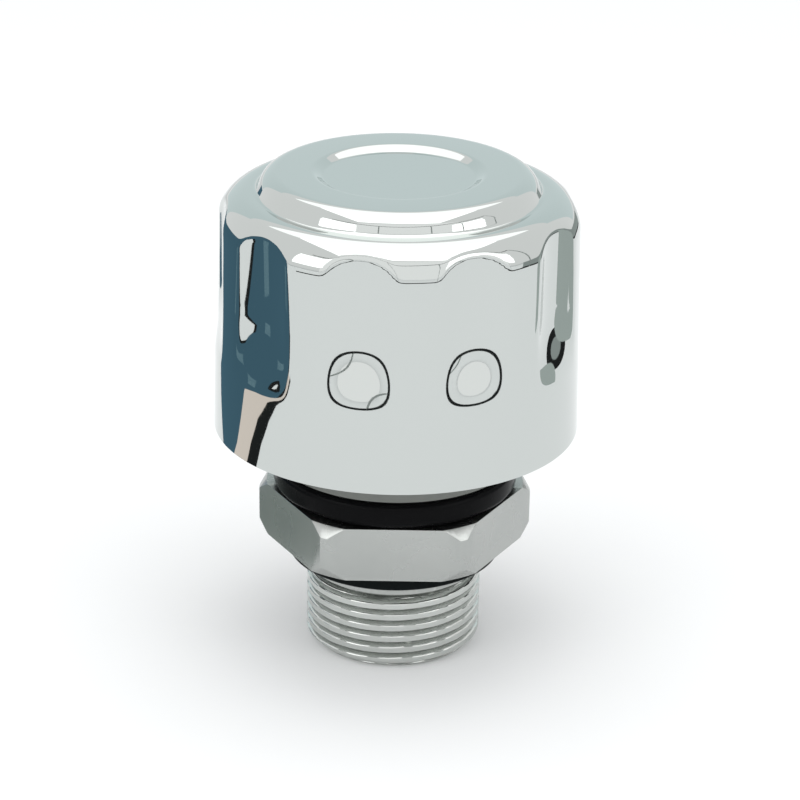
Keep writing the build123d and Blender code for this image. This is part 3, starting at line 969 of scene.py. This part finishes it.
    def build_hexagon(self, finishes: FinishLibrary) -> None:
        """Makes the hexagon with its turned corners, its socket and its land.

        Args:
            finishes: The finish library.
        """
        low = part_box("lower_seal")[1].z
        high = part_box("upper_seal_ring")[0].z
        end = -self.land_visible - self.undercut_width / 2
        floor = high - self.socket_depth
        reach = self.turned - self.chamfer_land
        turned = [
            (0.0, low),
            (self.chamfer_land, low),
            (self.turned, low + reach * self.chamfer_rise),
            (self.turned, high - reach * self.chamfer_rise),
            (self.chamfer_land, high),
            (0.0, high),
        ]
        neck = self.major - self.undercut
        shank = [
            (0.0, end),
            (neck, end),
            (neck, -self.land_visible),
            (self.major, -self.land_visible),
            (self.major, low + MM),
            (0.0, low + MM),
        ]
        hollow = [
            (0.0, end - MM),
            (self.bore, end - MM),
            (self.bore, floor),
            (self.socket, floor),
            (self.socket, high + MM),
            (0.0, high + MM),
        ]
        mesh = self._combine(
            "hexagon_body",
            self._hexagon_prism(low, high),
            [
                ("INTERSECT", lathe("turned_form", turned, self.segments)),
                ("UNION", lathe("shank_form", shank, self.segments)),
                ("DIFFERENCE", lathe("hollow_form", hollow, self.segments)),
            ],
        )
        weld(mesh, 0.0001 * MM, 20.0)
        finish_piece(mesh_object("hexagon_body", mesh), finishes, Slot.PLATED_HEX, "adapter", "hex_adapter")

    def build_seals(self, finishes: FinishLibrary) -> None:
        """Makes the two rubber seals with moulded, rounded edges.

        Args:
            finishes: The finish library.
        """
        for node, slot, body, rounding in (
            ("lower_seal", Slot.RUBBER_LOWER, "adapter", 0.5 * MM),
            ("upper_seal_ring", Slot.RUBBER_UPPER, "seal_carrier", 1.1 * MM),
        ):
            low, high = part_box(node)
            inner = (self.major if node == "lower_seal" else self.socket) + self.slide_fit
            corners = [
                (inner, low.z, 0.15 * MM),
                (inner, high.z, 0.15 * MM),
                (high.x, high.z, rounding),
                (high.x, low.z, rounding),
            ]
            mesh = lathe(node + "_moulded", rounded(corners, 10), 256)
            finish_piece(mesh_object(node + "_moulded", mesh), finishes, slot, body, node)

    def build(self, finishes: FinishLibrary) -> None:
        """Builds the adapter's pieces in order."""
        self.build_hexagon(finishes)
        self.build_thread(finishes)
        self.build_seals(finishes)


@dataclass(frozen=True)
class Spring:
    """A coil of round wire between two flat seats.

    Attributes:
        node: The CAD node that it stands for.
        body: The CAD body it rides on.
        wire: Diameter of the wire.
        bottom: Mean diameter at its lower end.
        top: Mean diameter at its upper end.
        coils: Number of turns.
        joint: The joint that shortens it, or nothing.
        travel: How far that joint moves; not used.
        upper_rides: Whether its upper end is the one that rides on the body; not used.
    """

    node: str
    body: str
    wire: float
    bottom: float
    top: float
    coils: float
    joint: str = ""
    travel: float = 0.0
    upper_rides: bool = False


SPRINGS = (
    Spring("hold_down_spring", "cap", 1.2 * MM, 20.0 * MM, 12.0 * MM, 2.5),
    Spring(
        "pressure_spring", "pressure_valve", 0.9 * MM, 13.6 * MM, 13.6 * MM, 3.5, "pressure_valve_lift", 2.5 * MM
    ),
    Spring(
        "suction_spring", "suction_valve", 0.4 * MM, 3.6 * MM, 3.6 * MM, 4.0, "suction_valve_drop", 1.6 * MM, True
    ),
)


@dataclass
class SpringSet:
    """The springs, each wound by one tree of nodes."""

    end_gap: float = 0.04 * MM
    steps_per_turn: int = 48
    wire_sides: int = 14

    def coil_tree(self, spring: Spring, low: float, high: float) -> GeometryTree:
        """Builds the tree that winds a spring.

        Args:
            spring: The spring's sizes.
            low: Height of its lower end.
            high: Height of its upper end.

        Returns:
            The tree.
        """
        rise = high - low - spring.wire - 2 * self.end_gap
        nodes = GeometryTree(
            "Wind Spring",
            {
                "Turns": spring.coils,
                "Steps": int(self.steps_per_turn),
                "Lower Radius": spring.bottom / 2,
                "Upper Radius": spring.top / 2,
                "Rise": rise,
                "Start": low + spring.wire / 2 + self.end_gap,
                "Wire Radius": spring.wire / 2,
                "Wire Sides": self.wire_sides,
            },
        )
        line = nodes.node(
            "GeometryNodeCurveSpiral",
            Resolution=nodes.value("Steps"),
            Rotations=nodes.value("Turns"),
            Start_Radius=nodes.value("Lower Radius"),
            End_Radius=nodes.value("Upper Radius"),
            Height=nodes.value("Rise"),
        )
        seat = nodes.vector(0.0, 0.0, nodes.value("Start"))
        raised = nodes.node("GeometryNodeTransform", Geometry=line.outputs[0], Translation=seat)
        section = nodes.node(
            "GeometryNodeCurvePrimitiveCircle",
            Resolution=nodes.value("Wire Sides"),
            Radius=nodes.value("Wire Radius"),
        )
        wire = nodes.node(
            "GeometryNodeCurveToMesh",
            Curve=raised.outputs[0],
            Profile_Curve=section.outputs[0],
            Fill_Caps=True,
        )
        nodes.close(wire.outputs[0])
        return nodes

    def build(self, finishes: FinishLibrary) -> None:
        """Winds each spring; a spring with a joint gets a mesh of its own.

        Args:
            finishes: The finish library.
        """
        for spring in SPRINGS:
            low, high = (corner.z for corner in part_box(spring.node))
            name = spring.node + "_wound"
            blank = bpy.data.meshes.new(name + "_blank")
            tree = self.coil_tree(spring, low, high)
            mesh = tree.apply(name, blank, finishes.of(Slot.SPRING_WIRE))
            weld(mesh, smooth_angle=60.0)
            piece = mesh_object(name, mesh)
            finish_piece(piece, finishes, Slot.SPRING_WIRE, spring.body, spring.node)
            if spring.joint:
                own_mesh(piece)


CAD_FINISHES = {
    "splash_screen": Slot.STAINLESS_SHEET,
    "screen_snap_ring": Slot.SPRING_WIRE,
    "neck_collar": Slot.COLLAR_METAL,
    "base_plate": Slot.ZINC_SHEET,
    "collar_nut": Slot.COLLAR_METAL,
    "filter_felt": Slot.FELT,
    "filter_bottom_cap": Slot.TINPLATE,
    "filter_top_cap": Slot.TINPLATE,
    "filter_core": Slot.TINPLATE,
    "filter_media": Slot.FILTER_PAPER,
    "filter_screen": Slot.STAINLESS_SHEET,
    "valve_seat": Slot.VALVE_BRASS,
    "pressure_plate": Slot.STAINLESS_SHEET,
    "pressure_seal": Slot.RUBBER_VALVE,
    "suction_stem": Slot.VALVE_BRASS,
    "suction_seal": Slot.RUBBER_VALVE,
    "stem_clip": Slot.SPRING_WIRE,
    "valve_cage": Slot.ZINC_SHEET,
}


def dress_cad_nodes(finishes: FinishLibrary) -> None:
    """Gives each CAD node that stays its worked finish."""
    for name, slot in CAD_FINISHES.items():
        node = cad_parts[name]
        node.data.materials.clear()
        node.data.materials.append(finishes.of(slot))
        LOG.info("%s: dressed as %s", name, slot.value)


@dataclass(frozen=True)
class Card:
    """A flat card that only reflections see.

    Attributes:
        name: The card's name.
        corners: Its corners, in millimetres from the foot of the object.
        colour: Its colour, linear.
        glow: Strength of its own light, 0 for a card that is only lit.
    """

    name: str
    corners: tuple[tuple[float, float, float], ...]
    colour: tuple[float, float, float]
    glow: float = 0.0


@dataclass
class Studio:
    """The floor, the soft lights, the reflecting cards and the camera."""

    distance: float = 400.0 * MM
    elevation: float = math.radians(23.565)
    focal_pixels: float = 2674.5
    rim_pixel: tuple[float, float] = (395.72, 417.77)
    roll: float = math.radians(0.867)
    image: float = 800.0
    sensor: float = 36.0
    floor_size: float = 6.0
    frame_radius: float = 285.0
    frame_bar: float = 10.0
    frame_heights: tuple[float, float] = (1.0, 298.0)
    frame_span: tuple[float, float] = (-62.0, 84.0)
    post_angles: tuple[float, ...] = (-17.0, 28.0, 55.0, 84.0)
    post_half: float = 0.5

    def build_floor(self) -> None:
        """Makes the pale floor."""
        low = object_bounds()[0][2]
        form = bmesh.new()
        bmesh.ops.create_grid(form, x_segments=1, y_segments=1, size=self.floor_size / 2)
        mesh = bpy.data.meshes.new("studio_floor")
        form.to_mesh(mesh)
        form.free()
        mesh.transform(Matrix.Translation((0, 0, low)))
        floor = mesh_object("studio_floor", mesh)
        floor.data.materials.append(self._plain("pale_floor", (0.90, 0.90, 0.90), 0.0))
        floor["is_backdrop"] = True

    @staticmethod
    def _plain(name: str, colour: tuple[float, float, float], glow: float) -> bpy.types.Material:
        """Returns a matt material for the floor or a card.

        Args:
            name: The material's name.
            colour: Its colour, linear.
            glow: Strength of its own light.

        Returns:
            The material.
        """
        material = bpy.data.materials.new(name)
        material.use_nodes = True
        shader = material.node_tree.nodes["Principled BSDF"]
        shader.inputs["Base Color"].default_value = (0, 0, 0, 1) if glow else (*colour, 1)
        shader.inputs["Roughness"].default_value = 0.9
        shader.inputs["Specular IOR Level"].default_value = 0.0
        shader.inputs["Emission Color"].default_value = (*colour, 1)
        shader.inputs["Emission Strength"].default_value = glow
        return material

    def build_world(self) -> None:
        """Makes the white surroundings, at strength 1 for camera and glossy rays."""
        world = bpy.data.worlds.new("studio")
        bpy.context.scene.world = world
        world.use_nodes = True
        tree = world.node_tree
        tree.nodes.clear()
        output = tree.nodes.new("ShaderNodeOutputWorld")
        lit = tree.nodes.new("ShaderNodeBackground")
        lit.inputs["Color"].default_value = (0.97, 0.99, 1.0, 1)
        lit.inputs["Strength"].default_value = 0.86
        seen = tree.nodes.new("ShaderNodeBackground")
        seen.inputs["Color"].default_value = (1, 1, 1, 1)
        seen.inputs["Strength"].default_value = 1.0
        path = tree.nodes.new("ShaderNodeLightPath")
        either = math_node(tree, "MAXIMUM", path.outputs["Is Camera Ray"], path.outputs["Is Transmission Ray"])
        either = math_node(tree, "MAXIMUM", either, path.outputs["Is Glossy Ray"])
        mix = tree.nodes.new("ShaderNodeMixShader")
        tree.links.new(either, mix.inputs[0])
        tree.links.new(lit.outputs[0], mix.inputs[1])
        tree.links.new(seen.outputs[0], mix.inputs[2])
        tree.links.new(mix.outputs[0], output.inputs[0])

    def build_lights(self) -> None:
        """Makes the wide soft lights: one overhead and one on each side in front."""
        for name, place, size, power in (
            ("roof_light", (0.0, -0.05, 0.80), 0.80, 2.6),
            ("left_light", (-0.75, -0.55, 0.45), 0.50, 1.2),
            ("right_light", (0.80, -0.45, 0.40), 0.50, 1.0),
        ):
            data = bpy.data.lights.new(name, "AREA")
            data.shape = "SQUARE"
            data.size = size
            data.energy = power
            lamp = bpy.data.objects.new(name, data)
            bpy.context.scene.collection.objects.link(lamp)
            lamp.location = place
            aim = Vector((0, 0, 0.03)) - Vector(place)
            lamp.rotation_euler = aim.to_track_quat("-Z", "Y").to_euler()

    def _front_frame(self) -> list[Card]:
        """Returns the thin dark bars and posts round the studio's front opening."""
        low, high = self.frame_heights
        start, end = self.frame_span
        count = 36
        dark = (0.02, 0.022, 0.022)
        grey = (0.34, 0.36, 0.35)

        def point(angle: float) -> tuple[float, float]:
            """Returns the place on the frame's circle at an angle in degrees."""
            turn = math.radians(angle)
            return self.frame_radius * math.sin(turn), -self.frame_radius * math.cos(turn)

        def plate(
            name: str,
            left: float,
            right: float,
            bottom: float,
            top: float,
            colour: tuple[float, float, float],
        ) -> Card:
            """Returns an upright card between two angles and two heights."""
            (x0, y0), (x1, y1) = point(left), point(right)
            return Card(name, ((x0, y0, bottom), (x1, y1, bottom), (x1, y1, top), (x0, y0, top)), colour)

        cards = []
        pitch = (end - start) / count
        for level in (low, high):
            for index in range(count):
                left = start + pitch * index
                name = f"bar_{level:.0f}_{index}"
                cards.append(plate(name, left, left + pitch, level, level + self.frame_bar, dark))
        for index, angle in enumerate(self.post_angles):
            name = f"post_{index}"
            cards.append(plate(name, angle - self.post_half, angle + self.post_half, low, high, grey))
        return cards

    def build_cards(self) -> None:
        """Makes the cards that the chrome shows, which neither camera nor light sees."""
        foot = Vector((0, 0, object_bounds()[0][2]))
        teal = (0.072, 0.155, 0.215)
        beige = (0.98, 0.86, 0.78)
        black = (0.02, 0.022, 0.022)

        def on_floor(name: str, colour: tuple[float, float, float], *places: tuple[float, float]) -> Card:
            """Returns a card that lies on the floor."""
            return Card(name, tuple((x, y, 1.0) for x, y in places), colour, 1.0)

        def upright(
            name: str,
            colour: tuple[float, float, float],
            start: tuple[float, float],
            end: tuple[float, float],
            low: float,
            high: float,
        ) -> Card:
            """Returns a card that stands between two places."""
            (x0, y0), (x1, y1) = start, end
            return Card(name, ((x0, y0, low), (x1, y1, low), (x1, y1, high), (x0, y0, high)), colour, 1.0)

        cards = [
            on_floor(
                "teal_floor", teal, (-78, 50), (-84, 74), (-92, 93), (-111, 120), (-150, 190), (-300, 200),
                (-300, -40), (-215, -32), (-164, -54), (-150, -46), (-147, 0), (-134, 23), (-100, 26), (-88, 30),
            ),
            on_floor("teal_streak", (0.19, 0.32, 0.38), (-172, 20), (-290, 34), (-290, 2), (-174, 2)),
            on_floor("dark_edge", black, (-150, -46), (-164, -54), (-215, -32), (-300, -40), (-300, -50), (-216, -41), (-164, -63), (-149, -54)),
            on_floor(
                "beige_floor", beige, (-88, 30), (-100, 26), (-134, 23), (-147, 0), (-150, -50), (-143, -62),
                (-136, -30), (-124, -8), (-110, 2), (-94, 8),
            ),
            on_floor(
                "black_strip", black, (-94, 8), (-110, 2), (-124, -8), (-136, -30), (-143, -62), (-140, -66),
                (-133, -46), (-124, -28), (-112, -15), (-94, -5),
            ),
            on_floor("green_floor", (0.30, 0.35, 0.33), (-34, 6), (-72, -16), (-86, 40), (-40, 46)),
            upright("teal_wall", teal, (-300, -60), (-150, 220), 0.0, 72.0),
            upright("grey_strip", (0.50, 0.56, 0.54), (172, 8), (160, 54), 0.0, 50.0),
            upright("grey_right", (0.36, 0.40, 0.39), (300, -60), (160, 272), 12.0, 64.0),
            upright("dark_right", black, (300, -60), (160, 272), 1.0, 12.0),
            upright("blue_back", (0.78, 0.88, 0.89), (-480, 620), (480, 620), 90.0, 560.0),
            upright("front_window", (1.2, 1.2, 1.2), (-1060, -1060), (1300, -750), -40.0, 1400.0),
            Card(
                "back_roof",
                ((-380, 500, 620), (380, 500, 620), (380, 330, 830), (-380, 330, 830)),
                (1.75, 1.75, 1.75),
                1.0,
            ),
        ]
        for card in cards + self._front_frame():
            mesh = bpy.data.meshes.new(card.name)
            corners = [foot + Vector(corner) * MM for corner in card.corners]
            mesh.from_pydata(corners, [], [tuple(range(len(corners)))])
            plate = mesh_object(card.name, mesh)
            plate.data.materials.append(self._plain(card.name, card.colour, card.glow))
            plate.visible_camera = False
            plate.visible_diffuse = False
            plate.visible_shadow = False
            plate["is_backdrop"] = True

    def build_camera(self) -> None:
        """Makes the camera at the photograph's viewing angle."""
        data = bpy.data.cameras.new("camera")
        camera = bpy.data.objects.new("camera", data)
        bpy.context.scene.collection.objects.link(camera)
        data.sensor_fit = "HORIZONTAL"
        data.sensor_width = self.sensor
        data.lens = self.focal_pixels / self.image * self.sensor
        data.clip_start = 0.01
        place = Vector((0, -math.cos(self.elevation), math.sin(self.elevation))) * self.distance
        forward = -place.normalized()
        right = Vector((1, 0, 0))
        looking = Matrix((right, forward.cross(right), forward))
        across = (self.rim_pixel[0] - self.image / 2) / self.focal_pixels
        drop = (self.rim_pixel[1] - self.image / 2) / self.focal_pixels
        roll = Matrix.Rotation(self.roll, 3, "Z")
        yaw = Matrix.Rotation(math.atan(across), 3, "Y")
        tilt = Matrix.Rotation(-math.atan2(drop, math.hypot(1, across)), 3, "X")
        view = yaw @ tilt @ roll @ looking
        axes = Matrix((view[0], -view[1], -view[2])).transposed()
        rim = Vector((0, 0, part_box("cap_shell")[0].z))
        camera.matrix_world = Matrix.Translation(rim + place) @ axes.to_4x4()
        bpy.context.scene.camera = camera

    def build(self) -> None:
        """Builds the studio."""
        self.build_world()
        self.build_floor()
        self.build_lights()
        self.build_cards()
        self.build_camera()
        bpy.context.scene.view_settings.view_transform = "Standard"


def main() -> None:
    logging.basicConfig(level=logging.INFO, format="%(message)s")
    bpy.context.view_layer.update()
    finishes = FinishLibrary()
    dress_cad_nodes(finishes)
    CapShell().build(finishes)
    Adapter().build(finishes)
    SpringSet().build(finishes)
    Studio().build()


if __name__ == "__main__":
    main()
